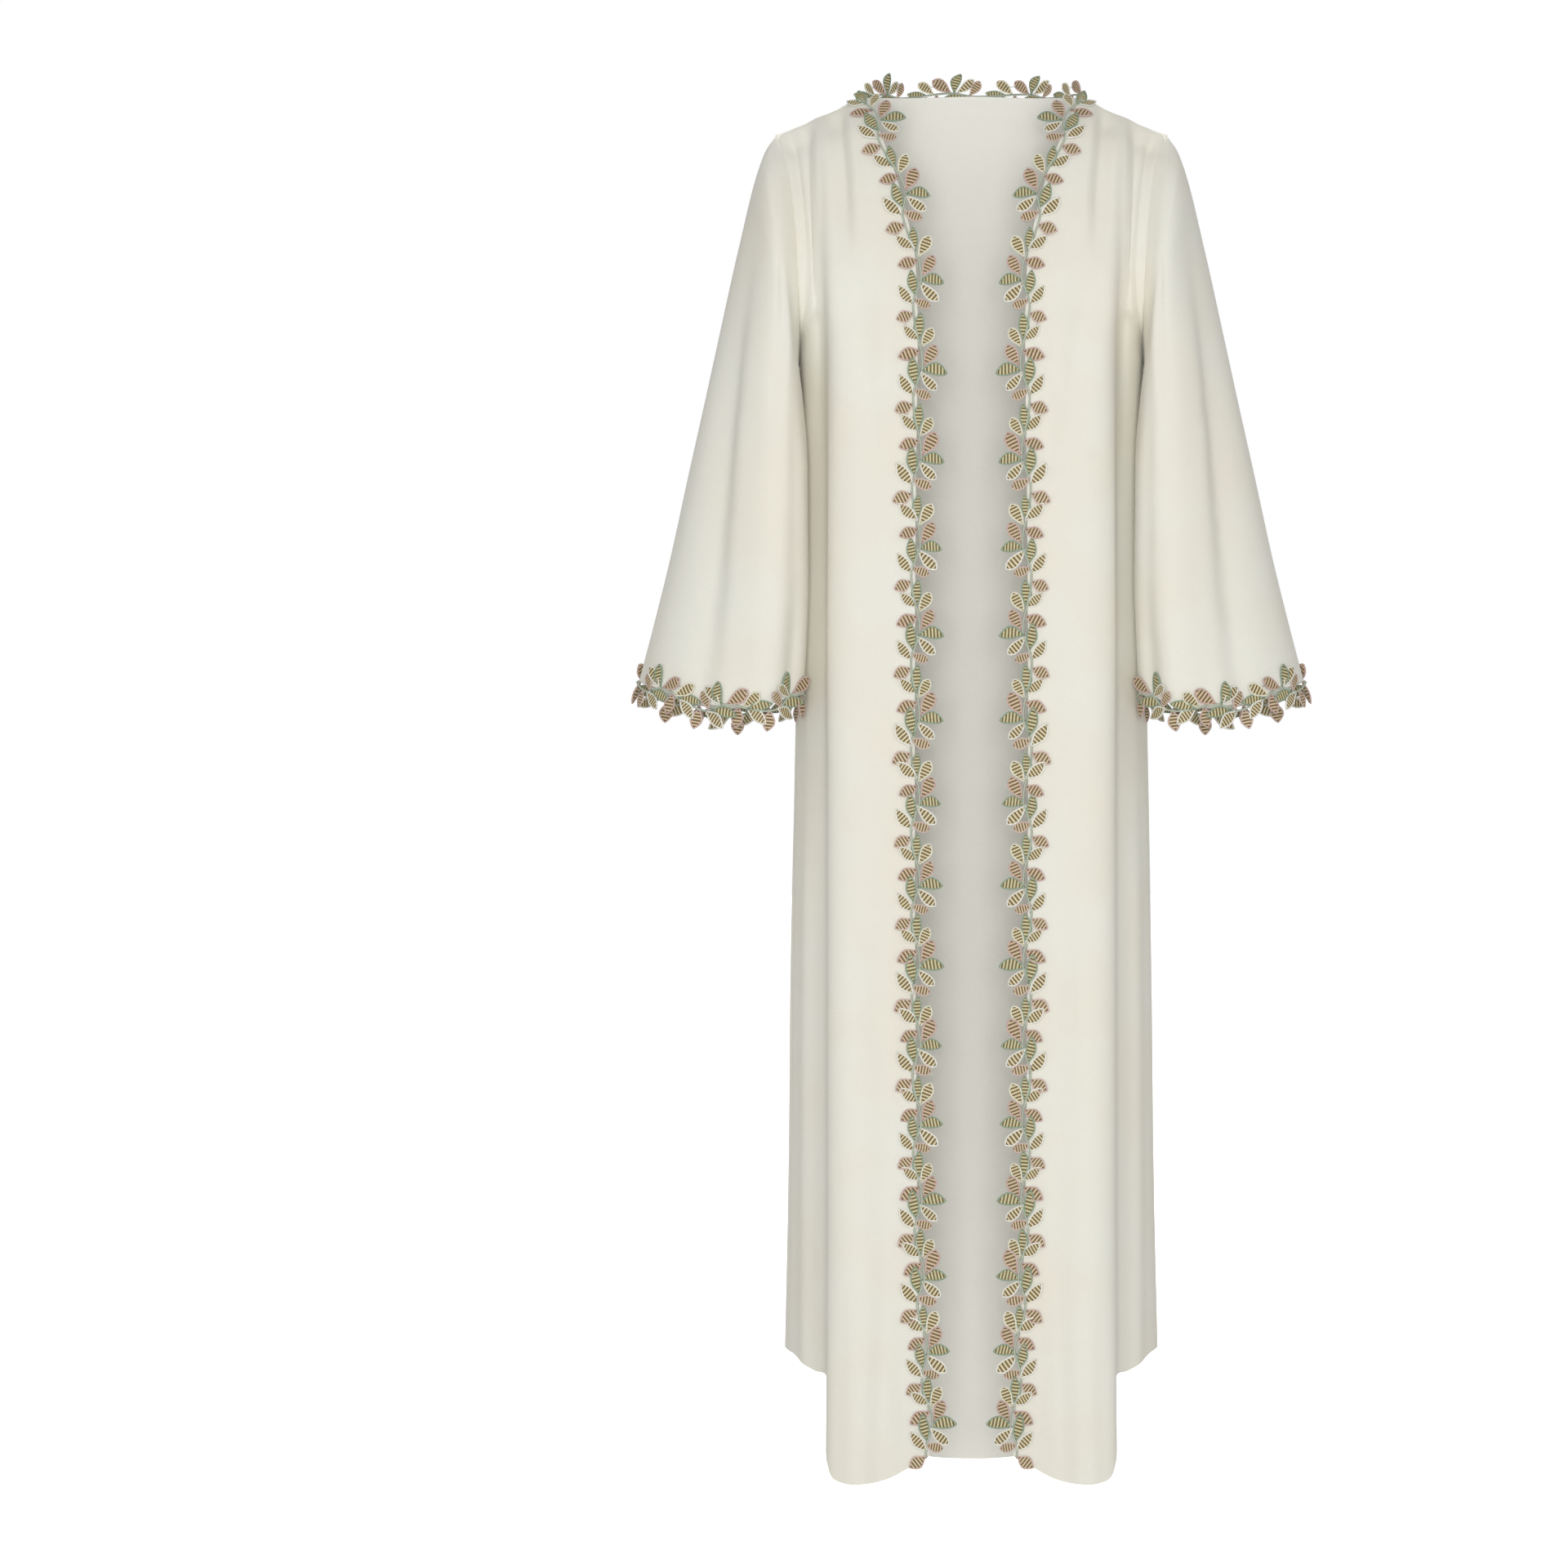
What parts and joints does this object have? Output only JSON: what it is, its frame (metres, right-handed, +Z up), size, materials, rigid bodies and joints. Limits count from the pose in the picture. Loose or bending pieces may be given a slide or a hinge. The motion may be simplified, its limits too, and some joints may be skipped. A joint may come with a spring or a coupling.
{
  "type": "embroidered open-front maxi dress",
  "caption": "Long open-front maxi dress with set-in bell sleeves and leaf lace along its fronts, back neck and cuffs, hollow as when worn.",
  "frame": {"origin": "midway between the two points where the neckline meets the shoulder seams, at their height", "axes": "+X to the wearer's left, +Y to the wearer's back, +Z up; the open front faces -Y"},
  "size_m": [0.6984, 0.2541, 1.4511],
  "materials": {
    "crepe": "cream crepe with a soft sheen",
    "lace": "embroidered leaf lace in khaki, cream, mauve and sage thread"
  },
  "bodies": {
    "root": {"back": "crepe", "front_left": "crepe", "front_right": "crepe", "sleeve_left": "crepe", "sleeve_right": "crepe", "trim_neck": "lace", "trim_front_left": "lace", "trim_front_right": "lace", "trim_cuff_left_front": "lace", "trim_cuff_left_back": "lace", "trim_cuff_right_front": "lace", "trim_cuff_right_back": "lace"}
  },
  "joints": []
}
